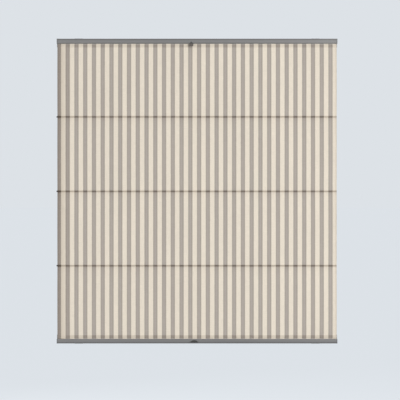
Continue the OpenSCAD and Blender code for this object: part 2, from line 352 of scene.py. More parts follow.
    def glow(self, colour: Colour, share: float) -> None:
        """Shows a plain colour to the camera and in reflections, over the lit surface.

        Args:
            colour: The colour.
            share: How much of it shows; the rest is the lit surface with its shadows.
        """
        light = self.result("Emission", (*colour, 1.0))
        seen = self.multiply(self.seen(), share)
        mixed = self.result("MixShader", seen, self.surface.outputs["BSDF"], light)
        output = next(n for n in self.tree.nodes if n.type == "OUTPUT_MATERIAL")
        self.feed(output.inputs["Surface"], mixed)


@dataclass(frozen=True)
class AnodisedAluminium:
    """Extruded aluminium under a satin anodised coat, with faint lines along its length.

    Each edge carries painted shade (painted highlight above 1) that fades over its span of the height.
    """

    name: str
    colour: Colour
    roughness: float = 0.45
    metallic: float = 0.9
    # Edge tones below 1 are painted shade on the rounded edges, and above 1 a painted highlight.
    upper_edge_painted_light: float = 1.0
    lower_edge_painted_light: float = 1.0
    upper_painted_light_span: Span = (0.6, 0.96)
    lower_painted_light_span: Span = (0.04, 0.4)
    line_scale: Point = (3.0, 1800.0, 1800.0)
    line_tones: Span = (0.95, 1.03)
    line_depth: float = 0.02 * MM
    cloud_scale: Point = (9.0, 60.0, 60.0)
    cloud_tone: float = 0.02

    def material(self) -> bpy.types.Material:
        """Builds the material.

        Returns:
            The material.
        """
        graph = ShaderGraph(self.name)
        here, up = graph.place(), graph.share_up()
        lines = graph.noise(here, self.line_scale, detail=3.0)
        cloud = graph.noise(here, self.cloud_scale)
        streaks = graph.ramp(lines, *graph.MIDDLE, *self.line_tones)
        # The two edge ramps paint shade, or a highlight, onto the top and bottom of the rail.
        tone = graph.multiply(
            graph.add(streaks, graph.swing(cloud, self.cloud_tone)),
            graph.ramp(up, *self.upper_painted_light_span, 1.0, self.upper_edge_painted_light),
            graph.ramp(up, *self.lower_painted_light_span, self.lower_edge_painted_light, 1.0),
        )
        gloss = graph.uneven_gloss(lines, self.roughness, graph.WIDE)
        graph.coat(graph.dim(graph.plain(self.colour), tone), gloss)
        graph.feed(graph.surface.inputs["Metallic"], self.metallic)
        graph.relief(lines, self.line_depth, strength=0.5)
        return graph.material


@dataclass(frozen=True)
class MouldedPlastic:
    """Moulded plastic with a fine spark-eroded grain and a slightly uneven gloss."""

    name: str
    colour: Colour
    roughness: float = 0.5
    grain_scale: float = 2200.0
    grain_depth: float = 0.03 * MM
    cloud_scale: float = 55.0
    cloud_tones: Span = (0.94, 1.05)

    def material(self) -> bpy.types.Material:
        """Builds the material.

        Returns:
            The material.
        """
        graph = ShaderGraph(self.name)
        here = graph.place()
        grain = graph.noise(here, (self.grain_scale,) * 3)
        cloud = graph.noise(here, (self.cloud_scale,) * 3, detail=3.0)
        tone = graph.ramp(cloud, *graph.MIDDLE, *self.cloud_tones)
        graph.coat(graph.dim(self.tint(graph), tone), graph.uneven_gloss(cloud, self.roughness))
        graph.relief(grain, self.grain_depth, strength=0.6)
        return graph.material

    def tint(self, graph: ShaderGraph) -> Socket:
        """Gives the plastic its colour."""
        return graph.plain(self.colour)


@dataclass(frozen=True)
class HandledLitPlastic(MouldedPlastic):
    """Moulded plastic, paler towards its lower lip: painted light on the lip, with some finger wear."""

    lip_wear_and_light: Colour = (0.14, 0.12, 0.1)
    lip_wear_and_light_up_to: float = 0.45
    fade: float = 0.25

    def tint(self, graph: ShaderGraph) -> Socket:
        """Gives the plastic its colour, paler at the lip from painted light and wear."""
        whole = graph.ramp(graph.share_up(), self.lip_wear_and_light_up_to, self.lip_wear_and_light_up_to + self.fade, 1.0, 0.0)
        return graph.blend(whole, self.colour, self.lip_wear_and_light)


@dataclass(frozen=True)
class StripedCloth:
    """Woven cloth with upright stripes in two colours, dyed in the warp.

    The taupe stripes take the painted shade more strongly than the cream ones, as the two powers say.
    """

    name: str
    cream: Colour
    taupe: Colour
    taupe_core: Colour
    cream_power: float = 0.74
    taupe_power: float = 1.38
    repeat: float = 31.24 * MM
    taupe_width: float = 15.14 * MM
    first_edge: float = -2.1 * MM
    core_width: float = 4.0 * MM
    edge_softness: float = 0.5 * MM
    edge_wobble: float = 0.5 * MM
    wobble_scale: Point = (8.0, 60.0, 1.0)
    thread: float = 0.95 * MM
    weave_tone: float = 0.022
    weave_height: float = 0.35
    slub_scale: Point = (700.0, 40.0, 1.0)
    slub_tone: float = 0.035
    pick_scale: Point = (45.0, 650.0, 1.0)
    pick_tone: float = 0.03
    cloud_scale: Point = (7.0, 5.0, 1.0)
    cloud_tone: float = 0.012
    gloss: Span = (0.82, 0.95)
    gloss_stretch: Span = (0.2, 0.8)
    sheen: float = 0.06
    sheen_roughness: float = 0.45
    relief_depth: float = 0.12 * MM

    def stripes(self, graph: ShaderGraph, cut: Socket, across: Socket) -> tuple[Socket, Socket]:
        """Works out the stripes.

        Args:
            graph: The material's nodes.
            cut: The place on the flat cloth.
            across: How far across the cloth it is.

        Returns:
            Sockets of the share of taupe and of the colour.
        """
        uneven = graph.math("SUBTRACT", graph.noise(cut, self.wobble_scale), 0.5)
        wobble = graph.multiply(uneven, self.edge_wobble)
        centre = self.first_edge + self.taupe_width / 2
        centred = graph.math("SUBTRACT", graph.add(across, wobble), centre)
        turns = graph.math("FRACT", graph.add(graph.math("DIVIDE", centred, self.repeat), 0.5))
        from_centre = graph.math("ABSOLUTE", graph.math("SUBTRACT", turns, 0.5))
        off_centre = graph.multiply(from_centre, self.repeat)
        half, core, soft = self.taupe_width / 2, self.core_width / 2, self.edge_softness
        in_taupe = graph.ramp(off_centre, half - soft, half + soft, 1.0, 0.0)
        in_core = graph.ramp(off_centre, core - soft, core + 2 * soft, 1.0, 0.0)
        taupe = graph.blend(in_core, self.taupe, self.taupe_core)
        return in_taupe, graph.blend(in_taupe, self.cream, taupe)

    def material(self) -> bpy.types.Material:
        """Builds the material.

        Returns:
            The material.
        """
        graph = ShaderGraph(self.name)
        cut = graph.node("UVMap", uv_map=ClosedSheet.UV_NAME).outputs["UV"]
        across, along, _ = graph.axes(cut)
        in_taupe, colour = self.stripes(graph, cut, across)
        weave = graph.multiply(graph.wave(across, self.thread), graph.wave(along, self.thread))
        slub = graph.noise(cut, self.slub_scale)
        pick = graph.noise(cut, self.pick_scale)
        cloud = graph.noise(cut, self.cloud_scale, detail=3.0)
        slubs = graph.swing(slub, self.slub_tone, graph.WIDE)
        picks = graph.swing(pick, self.pick_tone, graph.WIDE)
        clouds = graph.swing(cloud, self.cloud_tone)
        tone = graph.add(1.0, graph.add(slubs, picks), clouds, graph.multiply(weave, self.weave_tone))
        # The cloth_shade attribute carries painted shade and painted light; it darkens taupe more than cream.
        shade = graph.node("Attribute", attribute_name=ClosedSheet.SHADE_NAME).outputs["Fac"]
        stronger = graph.multiply(in_taupe, self.taupe_power - self.cream_power)
        shade = graph.math("POWER", shade, graph.add(stronger, self.cream_power))
        gloss = graph.ramp(slub, *self.gloss_stretch, *self.gloss)
        colour = graph.dim(graph.warmed(colour, shade), tone)
        graph.coat(colour, gloss, specular=0.2)
        graph.feed(graph.surface.inputs["Sheen Weight"], self.sheen)
        graph.feed(graph.surface.inputs["Sheen Roughness"], self.sheen_roughness)
        height = graph.add(graph.multiply(weave, self.weave_height), graph.add(slub, pick))
        graph.relief(height, self.relief_depth, strength=0.55)
        return graph.material


@dataclass(frozen=True)
class SewingThread:
    """Twisted polyester thread, a little glossier than the cloth that it holds."""

    name: str
    colour: Colour
    twist: float = 0.5 * MM
    tones: Span = (0.86, 1.06)
    gloss: Span = (0.55, 0.7)
    relief_depth: float = 0.05 * MM

    def material(self) -> bpy.types.Material:
        """Builds the material.

        Returns:
            The material.
        """
        graph = ShaderGraph(self.name)
        across, _, up = graph.axes(graph.place())
        plies = graph.wave(graph.add(across, up), self.twist)
        tone, gloss = (graph.ramp(plies, -1.0, 1.0, *ends) for ends in (self.tones, self.gloss))
        graph.coat(graph.dim(graph.plain(self.colour), tone), gloss, specular=0.35)
        graph.relief(plies, self.relief_depth, strength=0.6)
        return graph.material


@dataclass(frozen=True)
class PlainBackground:
    """A matt pale floor that shows no grain and keeps soft shadows."""

    name: str
    colour: Colour
    shown: Colour
    shown_share: float = 0.75
    cloud_scale: Point = (0.7, 0.7, 0.7)
    cloud_tone: float = 0.985

    def material(self) -> bpy.types.Material:
        """Builds the material.

        Returns:
            The material.
        """
        graph = ShaderGraph(self.name)
        darker = tuple(channel * self.cloud_tone for channel in self.colour)
        cloud = graph.noise(graph.place(), self.cloud_scale)
        graph.coat(graph.blend(cloud, self.colour, darker), roughness=0.9, specular=0.1)
        graph.glow(self.shown, self.shown_share)
        return graph.material


@dataclass(frozen=True)
class Stitch:
    """Sizes and form of one stitch of a sewn row.

    A ring is a place along the stitch, its share of the full width and how deep it sinks, and a
    corner is a place round a ring, across and up.
    """

    pitch: float = 3.0 * MM
    length: float = 2.4 * MM
    width: float = 0.42 * MM
    height: float = 0.16 * MM
    from_edge: float = 11.0 * MM
    lift: float = 0.05 * MM
    step: float = 0.4 * MM
    rings: tuple[Point, ...] = ((-0.5, 0.35, 0.8), (-0.3, 1.0, 0.0), (0.3, 1.0, 0.0), (0.5, 0.35, 0.8))
    corners: tuple[Span, ...] = ((0.0, 1.0), (1.0, 0.25), (0.0, -0.5), (-1.0, 0.25))


@dataclass
class ClosedSheet:
    """A sheet of even thickness, built on a grid of points along its middle surface."""

    UV_NAME = "ClothCut"
    SHADE_NAME = "cloth_shade"

    thickness: float
    points: list[np.ndarray] = field(default_factory=list)
    faces: list[np.ndarray] = field(default_factory=list)
    cuts: list[np.ndarray] = field(default_factory=list)
    shades: list[np.ndarray] = field(default_factory=list)
    rims: list[np.ndarray] = field(default_factory=list)
    slots: list[np.ndarray] = field(default_factory=list)

    def add(self, middle: np.ndarray, cut: np.ndarray, shade: np.ndarray) -> None:
        """Adds one sheet to the mesh.

        Args:
            middle: Points of the middle surface, rows by columns by 3.
            cut: Where each point lies on the flat cloth, rows by columns by 2.
            shade: The painted shade and light on the cloth there, as a factor, rows by columns.
        """
        normal = np.cross(np.gradient(middle, axis=1), np.gradient(middle, axis=0))
        normal /= np.linalg.norm(normal, axis=2, keepdims=True)
        rows, columns = middle.shape[:2]
        behind = rows * columns
        front = np.arange(behind).reshape(rows, columns) + self.count()
        ring = np.concatenate([front[0, :], front[1:, -1], front[-1, -2::-1], front[-2:0:-1, 0]])
        ring_next = np.roll(ring, -1)
        self.points.append((middle + normal * self.thickness / 2).reshape(-1, 3))
        self.points.append((middle - normal * self.thickness / 2).reshape(-1, 3))
        self.faces.append(self.quads(front))
        self.faces.append(self.quads(front + behind)[:, ::-1])
        self.faces.append(np.stack([ring_next, ring, ring + behind, ring_next + behind], axis=1))
        self.rims.append(np.concatenate([ring, ring + behind]))
        self.slots.extend(np.zeros(len(block), int) for block in self.faces[-3:])
        self.cuts.extend([cut.reshape(-1, 2)] * 2)
        self.shades.extend([shade.reshape(-1)] * 2)

    def sew(self, path: np.ndarray, out: Point, stitch: Stitch) -> None:
        """Adds a row of stitches along a line on the sheet.

        Args:
            path: Points of the line on the middle surface, in order.
            out: The way that the sheet faces there.
            stitch: The stitches' sizes.
        """
        run = length_along(path)
        facing = np.array(out)
        block = np.arange(len(stitch.rings) * len(stitch.corners)).reshape(len(stitch.rings), -1)
        wall = self.quads(np.column_stack([block, block[:, 0]]))
        one = np.concatenate([wall, [block[0, ::-1]], [block[-1]]])
        points, faces = [], []
        for centre in np.arange(stitch.pitch / 2, run[-1] - stitch.pitch / 2, stitch.pitch):
            faces.append(one + self.count() + len(points))
            places = (centre + stitch.step, centre - stitch.step)
            ahead, behind = (np.array([np.interp(p, run, axis) for axis in path.T]) for p in places)
            along = (ahead - behind) / np.linalg.norm(ahead - behind)
            side = np.cross(along, facing)
            middle = (ahead + behind) / 2 + facing * (self.thickness / 2 + stitch.lift)
            for place, wide, sunk in stitch.rings:
                for across, up in stitch.corners:
                    sideways = side * across * wide * stitch.width / 2
                    outwards = facing * (up * wide - sunk) * stitch.height
                    points.append(middle + along * place * stitch.length + sideways + outwards)
        self.points.append(np.array(points))
        self.faces.append(np.concatenate(faces))
        self.slots.append(np.ones(len(self.faces[-1]), int))
        self.cuts.append(np.zeros((len(points), 2)))
        self.shades.append(np.ones(len(points)))

    def count(self) -> int:
        """Counts the points that the mesh has so far."""
        return sum(len(block) for block in self.points)

    @staticmethod
    def quads(numbers: np.ndarray) -> np.ndarray:
        """Joins a grid of points, given by their numbers, into four-sided faces."""
        corners = (numbers[:-1, :-1], numbers[:-1, 1:], numbers[1:, 1:], numbers[1:, :-1])
        return np.stack(corners, axis=2).reshape(-1, 4)

    def build(self, name: str, *materials: bpy.types.Material) -> bpy.types.Object:
        """Makes the mesh object.

        Args:
            name: The piece's name.
            *materials: The cloth's material and, if it is sewn, the thread's.

        Returns:
            The object, linked to the scene.
        """
        points = np.concatenate(self.points)
        mesh = bpy.data.meshes.new(name)
        mesh.from_pydata(points.tolist(), [], np.concatenate(self.faces).tolist())
        on_rim = np.zeros(len(points), bool)
        on_rim[np.concatenate(self.rims)] = True
        block = np.repeat(np.arange(len(self.points)), [len(part) for part in self.points])
        ends = np.zeros(len(mesh.edges) * 2, int)
        mesh.edges.foreach_get("vertices", ends)
        one, two = ends.reshape(-1, 2).T
        mesh.edges.foreach_set("use_edge_sharp", on_rim[one] & on_rim[two] & (block[one] == block[two]))
        mesh.polygons.foreach_set("use_smooth", np.ones(len(mesh.polygons), bool))
        mesh.polygons.foreach_set("material_index", np.concatenate(self.slots))
        corners = np.zeros(len(mesh.loops), int)
        mesh.loops.foreach_get("vertex_index", corners)
        uv = mesh.uv_layers.new(name=self.UV_NAME)
        uv.data.foreach_set("uv", np.concatenate(self.cuts)[corners].astype(np.float32).ravel())
        shade = mesh.attributes.new(self.SHADE_NAME, "FLOAT", "POINT")
        shade.data.foreach_set("value", np.concatenate(self.shades).astype(np.float32))
        mesh.validate()
        mesh.update()
        for material in materials:
            mesh.materials.append(material)
        return add_object(name, mesh)


class PanelEnd(Enum):
    """How an end of a cloth panel is held."""

    RAIL = "pushed into a rail's slot"
    CREASE = "rolled back into a rod's pocket"
    RUNNING = "goes on in the next piece"


@dataclass(frozen=True)
class ClothCut:
    """Sizes of the cloth and of how it lies, shared by all its pieces.

    Places down the cut are counted from a line that lies zero_above over the part's own zero.
    """

    width: float
    thickness: float = 0.5 * MM
    zero_above: float = 1.05
    slot_y: float = -3.6 * MM
    slot_reach: float = 30 * MM
    panel_y: float = -4.2 * MM
    seam_y: float = -3.1 * MM
    seam_gap: float = 0.28 * MM
    upper_roll: float = 2.4 * MM
    lower_roll: float = 2.8 * MM
    roll_rows: int = 7
    lip: float = 0.9 * MM
    lip_reach: float = 6.0 * MM
    set_back: float = 0.5 * MM
    set_back_reach: float = 9.0 * MM
    belly: float = 2.0 * MM
    ripple: float = 0.25 * MM
    ripple_lengths: Point = (0.61, 0.37, 0.23)
    pucker: float = 0.12 * MM
    pucker_lengths: Point = (0.083, 0.047, 0.029)
    pucker_reach: float = 20 * MM
    pucker_from: float = 4 * MM
    phases: Span = (0.0, 6.28)
    tuck: float = 0.8 * MM
    pinch: float = 0.3 * MM
    pinch_reach: float = 3.5 * MM
    hem: float = 13.0 * MM
    hem_gap: float = 0.62 * MM
    hem_columns: int = 4
    bend_columns: int = 7
    front_columns: int = 119

    def columns(self) -> tuple[np.ndarray, np.ndarray, np.ndarray]:
        """Lays out the columns from one turned hem round to the other.

        Returns:
            Each column's X, how far behind the front layer it lies, and its place on the cut.
        """
        bend = self.hem_gap / 2
        edge = self.width / 2 - self.thickness / 2 - bend
        turn = np.radians(np.linspace(-90, 90, self.bend_columns + 2)[1:-1])
        inner = np.linspace(self.width / 2 - self.hem, edge, self.hem_columns)
        right_x = np.concatenate([[edge], edge + bend * np.cos(turn), inner[::-1]])
        hem_back = np.full(len(inner), self.hem_gap)
        right_back = np.concatenate([[0.0], bend + bend * np.sin(turn), hem_back])
        front = np.linspace(-edge, edge, self.front_columns + 2)[1:-1]
        x = np.concatenate([-right_x[::-1], front, right_x])
        back = np.concatenate([right_back[::-1], np.zeros(len(front)), right_back])
        cut = length_along(np.stack([x, back], axis=1))
        cut -= np.interp(0.0, front, cut[len(right_x) : -len(right_x)]) - self.width / 2
        return x, back, cut


@dataclass(frozen=True)
class ClothPaintedLight:
    """Painted shade and painted light on the cloth, and how far each reaches.

    Pairs stand for a panel's upper and lower end. A blade shadow is the painted shade of a carrier
    behind the cloth against light from behind: how dark it shows, from where and to where. A rail
    highlight is painted light just beside a rail. A crease shade is painted shade at a crease: its
    depth, its reach and a softer share. An edge shade, 1 for the left edge, is painted shade with its
    depth, end and fade. The crease end shade is more painted shade where the creases meet the left edge.
    """

    blade_shadows: tuple[Point, Point] = ((0.15, 2.2 * MM, 13.7 * MM), (0.19, 2.0 * MM, 13.4 * MM))
    blade_shadow_fade: float = 1.0 * MM
    rail_highlights: Span = (0.16, 0.2)
    rail_highlight_reach: float = 2.4 * MM
    crease_shades: tuple[Point, Point] = ((0.34, 3.3 * MM, 0.14), (0.48, 3.0 * MM, 0.0))
    soft_reach: float = 9.0 * MM
    crease_end_shade: float = 0.3
    crease_end_shade_reaches: Span = (4.0 * MM, 3.0 * MM)
    crease_end_shade_fade: float = 3.0 * MM
    steps: tuple[tuple[float, float, float, float], ...] = (
        (1, 0.1, 7.0 * MM, 4.0 * MM),
        (1, 0.08, 24.0 * MM, 3.0 * MM),
        (1, 0.05, 35.0 * MM, 4.0 * MM),
        (1, 0.07, 50.0 * MM, 8.0 * MM),
        (-1, 0.22, 4.5 * MM, 2.0 * MM),
    )


@dataclass
class ClothPanel:
    """One piece of the cloth between two of its holds.

    The loss is how much lower the piece gets while its joint moves to the limit, and the anchor
    the height that stays in place. The whole reaches from one rod or rail to the next.
    """

    name: str
    cut: ClothCut
    loss: float
    low: float
    high: float
    low_end: PanelEnd
    high_end: PanelEnd
    body: str
    joint: str
    anchor: float
    seed: int
    whole_low: float
    whole_high: float
    tones: ClothPaintedLight = ClothPaintedLight()
    row: float = 7 * MM
    least_row: float = 0.3 * MM
    close_rows: tuple[Point, ...] = ((0.0, 16.0, 0.8), (16.0, 40.0, 3.0))

    @property
    def keep(self) -> float:
        """Gives the share of the panel's height that is left at the joint's limit."""
        return 1 - self.loss / (self.high - self.low)

    def distances(self, kind: PanelEnd, z: np.ndarray) -> tuple[np.ndarray, np.ndarray]:
        """Measures how far rows lie from the upper and lower end; endless unless it is of the kind."""
        ends = ((self.high_end, self.high - z), (self.low_end, z - self.low))
        return tuple(away if end is kind else np.full_like(z, math.inf) for end, away in ends)

    def heights(self) -> np.ndarray:
        """Chooses the rows' heights, close together at the ends.

        Returns:
            Heights from the top down.
        """
        fine = np.concatenate([np.arange(*rows) for rows in self.close_rows]) * MM
        low = self.low + self.start(self.low_end, self.cut.upper_roll)
        high = self.high - self.start(self.high_end, self.cut.lower_roll)
        rows = [np.linspace(low, high, 2 + round((high - low) / self.row))]
        if self.low_end is not PanelEnd.RUNNING:
            rows.append(low + fine)
        if self.high_end is not PanelEnd.RUNNING:
            rows.append(high - fine)
        rows = np.unique(np.round(np.concatenate(rows), 6))
        rows = rows[(rows > low + self.least_row) & (rows < high - self.least_row)]
        return np.concatenate([[low], rows, [high]])[::-1]

    def start(self, end: PanelEnd, roll: float) -> float:
        """Gives how far from an end its roll begins; below zero where the cloth goes into a slot."""
        starts = {PanelEnd.CREASE: self.cut.seam_gap + roll, PanelEnd.RAIL: -self.cut.tuck}
        return starts.get(end, 0.0)

    def front_line(self, z: np.ndarray) -> np.ndarray:
        """Works out where the cloth lies across the depth.

        Args:
            z: Heights.

        Returns:
            Y at each height.
        """
        cut = self.cut
        y = cut.panel_y - cut.belly * np.sin(math.pi * self.share(z))
        for end, away, shift, reach in (
            (self.low_end, z - self.whole_low, -cut.lip, cut.lip_reach),
            (self.high_end, self.whole_high - z, cut.set_back, cut.set_back_reach),
        ):
            if end is PanelEnd.RAIL:
                y += (cut.slot_y - cut.panel_y) * fading(np.maximum(away, 0.0), cut.slot_reach)
            else:
                y += shift * fading(away, reach)
        return y

    def share(self, z: np.ndarray) -> np.ndarray:
        """Gives how far up the whole panel heights lie, from 0 to 1."""
        return np.clip((z - self.whole_low) / (self.whole_high - self.whole_low), 0.0, 1.0)

    def pinch(self, z: np.ndarray) -> np.ndarray:
        """Works out how much narrower the cloth is between a rail's two end caps.

        Args:
            z: Heights.

        Returns:
            The share that is missing at each height.
        """
        rails = self.distances(PanelEnd.RAIL, z)
        missing = sum(near(np.maximum(away, 0.0), self.cut.pinch_reach) for away in rails)
        return missing * self.cut.pinch / (self.cut.width / 2)

    def roll(self, y: float, z: float, rise: float) -> np.ndarray:
        """Draws the quarter turn from a crease's seam to the cloth's front.

        Args:
            y: Where the front begins, across the depth.
            z: The height there.
            rise: How far up the seam lies from there.

        Returns:
            Points in Y and Z, from the seam on.
        """
        angles = np.radians(np.linspace(90, 0, self.cut.roll_rows + 1)[:-1])
        deep = self.cut.seam_y - y
        return np.stack([self.cut.seam_y - deep * np.cos(angles), z + rise * np.sin(angles)], axis=1)

    def profile(self) -> tuple[np.ndarray, np.ndarray]:
        """Draws the panel's section from the top down, rolls included.

        Returns:
            Points in Y and Z, and the way that the front faces at each.
        """
        z = self.heights()
        y = self.front_line(z)
        line = np.stack([y, z], axis=1)
        if self.high_end is PanelEnd.CREASE:
            line = np.concatenate([self.roll(y[0], z[0], self.cut.lower_roll), line])
        if self.low_end is PanelEnd.CREASE:
            line = np.concatenate([line, self.roll(y[-1], z[-1], -self.cut.upper_roll)[::-1]])
        run = np.gradient(line, axis=0)
        facing = np.stack([run[:, 1], -run[:, 0]], axis=1)
        facing /= np.linalg.norm(facing, axis=1, keepdims=True)
        return line, facing

    def tone(self, z: np.ndarray, x: np.ndarray) -> np.ndarray:
        """Works out the painted shade and painted light on the cloth everywhere.

        Args:
            z: The rows' heights.
            x: The columns' places along the rails.

        Returns:
            The factor, rows by columns.
        """
        tones, half = self.tones, self.cut.width / 2
        rails, rods = self.distances(PanelEnd.RAIL, z), self.distances(PanelEnd.CREASE, z)
        blade_shadows = rail_highlights = crease_shades = np.ones_like(z)
        # Painted shadow of each rail's carrier, and painted light just beside the rail.
        for away, (dark, start, end), pale in zip(rails, tones.blade_shadows, tones.rail_highlights):
            past_start = within(-away, -start, tones.blade_shadow_fade)
            blade_shadows = blade_shadows * (1 - dark * past_start * within(away, end, tones.blade_shadow_fade))
            rail_highlights = rail_highlights * (1 + pale * near(away, tones.rail_highlight_reach))
        # Painted shade at the creases.
        for away, (dark, reach, soft) in zip(rods, tones.crease_shades):
            crease_shades = crease_shades * (1 - dark * near(away, reach) - soft * fading(away, tones.soft_reach))
        # Painted shade along the side edges.
        steps = (dark * within(half + side * x, end, fade) for side, dark, end, fade in tones.steps)
        # More painted shade where the creases meet the left edge.
        crease_ends = sum(near(away, reach) for away, reach in zip(rods, tones.crease_end_shade_reaches))
        across = within(half + x, self.cut.hem, tones.crease_end_shade_fade)
        tone = np.minimum(blade_shadows[:, None], 1 - sum(steps)) * (rail_highlights * crease_shades)[:, None]
        return tone * (1 - tones.crease_end_shade * crease_ends[:, None] * across[None, :])

    def wrinkle(self, grid: np.ndarray) -> None:
        """Moves the cloth in and out a little, as tension leaves it.

        Args:
            grid: The points, changed in place.
        """
        cut = self.cut
        random = np.random.default_rng(self.seed)
        x, z = grid[:, :, 0], grid[:, :, 2]
        long, short = (
            sum(np.sin(2 * math.pi * x / size + random.uniform(*cut.phases)) for size in sizes)
            for sizes in (cut.ripple_lengths, cut.pucker_lengths)
        )
        below, above = z - self.whole_low, self.whole_high - z
        ends = fading(below, cut.pucker_reach) + fading(above, cut.pucker_reach)
        inside = np.clip(np.minimum(below, above) / cut.pucker_from, 0.0, 1.0)
        ripples = cut.ripple * long * np.sin(math.pi * self.share(z))
        grid[:, :, 1] += ripples + cut.pucker * short * ends * inside

    def sew_hems(self, sheet: ClosedSheet, grid: np.ndarray, back: np.ndarray) -> None:
        """Sews both side hems, with a row of stitches on the front and one on the back.

        Args:
            sheet: The sheet that the stitches are added to.
            grid: The sheet's middle surface.
            back: How far each column lies behind the front layer.
        """
        stitch = Stitch()
        above, below = (
            self.cut.roll_rows if end is PanelEnd.CREASE else 0 for end in (self.high_end, self.low_end)
        )
        front = grid[above : len(grid) - below, back == 0.0]
        for sign in (-1, 1):
            place = sign * (self.cut.width / 2 - stitch.from_edge)
            column = int(np.argmin(np.abs(front[0, :, 0] - place)))
            here, beside = front[:, column], front[:, column + 1]
            share = (place - here[0, 0]) / (beside[0, 0] - here[0, 0])
            path = here + share * (beside - here)
            sheet.sew(path, (0.0, -1.0, 0.0), stitch)
            sheet.sew(path + (0.0, self.cut.hem_gap, 0.0), (0.0, 1.0, 0.0), stitch)

    def build(self, cloth: bpy.types.Material, thread: bpy.types.Material) -> None:
        """Builds the panel and parents it to its body.

        Args:
            cloth: The cloth's material.
            thread: The hems' thread.
        """
        line, facing = self.profile()
        x, back, across = self.cut.columns()
        grid = np.zeros((len(line), len(x), 3))
        grid[:, :, 0] = x
        grid[:, :, 1:] = line[:, None, :] - facing[:, None, :] * back[None, :, None]
        self.wrinkle(grid)
        grid[:, :, 0] *= 1 - self.pinch(line[:, 1])[:, None]
        down = length_along(line) + self.cut.zero_above - self.high
        flat = np.stack(np.broadcast_arrays(across[None, :], down[:, None]), axis=2)
        sheet = ClosedSheet(self.cut.thickness)
        sheet.add(grid, flat, self.tone(line[:, 1], x))
        self.sew_hems(sheet, grid, back)
        panel = sheet.build(self.name, cloth, thread)
        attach(panel, self.body)
        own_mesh(panel)
        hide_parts("fabric")
        LOG.info("%s: %.1f mm high, keeps %.3f", self.name, (self.high - self.low) / MM, self.keep)


@dataclass
class RodPocket:
    """The pocket behind a crease, sewn round a cross rod and open where a ring clips on."""

    name: str
    cut: ClothCut
    body: str
    centre: Vector
    rod_radius: float
    spans: Sequence[Span]
    # A slight painted shade over the whole pocket, fed in as its cloth shade.
    tone: float = 0.97
    play: float = 0.1 * MM
    points_round: int = 33
    column: float = 8 * MM

    def build(self, cloth: bpy.types.Material) -> None:
        """Builds the pocket and lets it ride with its rod.

        Args:
            cloth: The cloth's material.
        """
        cut = self.cut
        radius = self.rod_radius + self.play + cut.thickness / 2
        opening = math.degrees(math.asin(cut.seam_gap / radius))
        angles = np.radians(np.linspace(180 - opening, opening - 180, self.points_round))
        ring = radius * np.stack([np.cos(angles), np.sin(angles)], axis=1) + self.centre.yz
        ends = [[[cut.seam_y, self.centre.z + side * cut.seam_gap]] for side in (1, -1)]
        line = np.concatenate([ends[0], ring, ends[1]])
        around = length_along(line)
        sheet = ClosedSheet(cut.thickness)
        for left, right in self.spans:
            x = np.linspace(left, right, 2 + round((right - left) / self.column))
            grid = np.zeros((len(line), len(x), 3))
            grid[:, :, 0] = x
            grid[:, :, 1:] = line[:, None, :]
            flat = np.stack(np.broadcast_arrays(x[None, :] + cut.width / 2, around[:, None]), axis=2)
            sheet.add(grid, flat, np.full(grid.shape[:2], self.tone))
        pocket = sheet.build(self.name, cloth)
        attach(pocket, self.body)
        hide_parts("fabric")
        LOG.info("%s: %.1f mm of cloth round the rod", self.name, around[-1] / MM)


def centre_of(node: str) -> Vector:
    """Gives the middle of a node's box."""
    return sum(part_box(node), Vector()) / 2


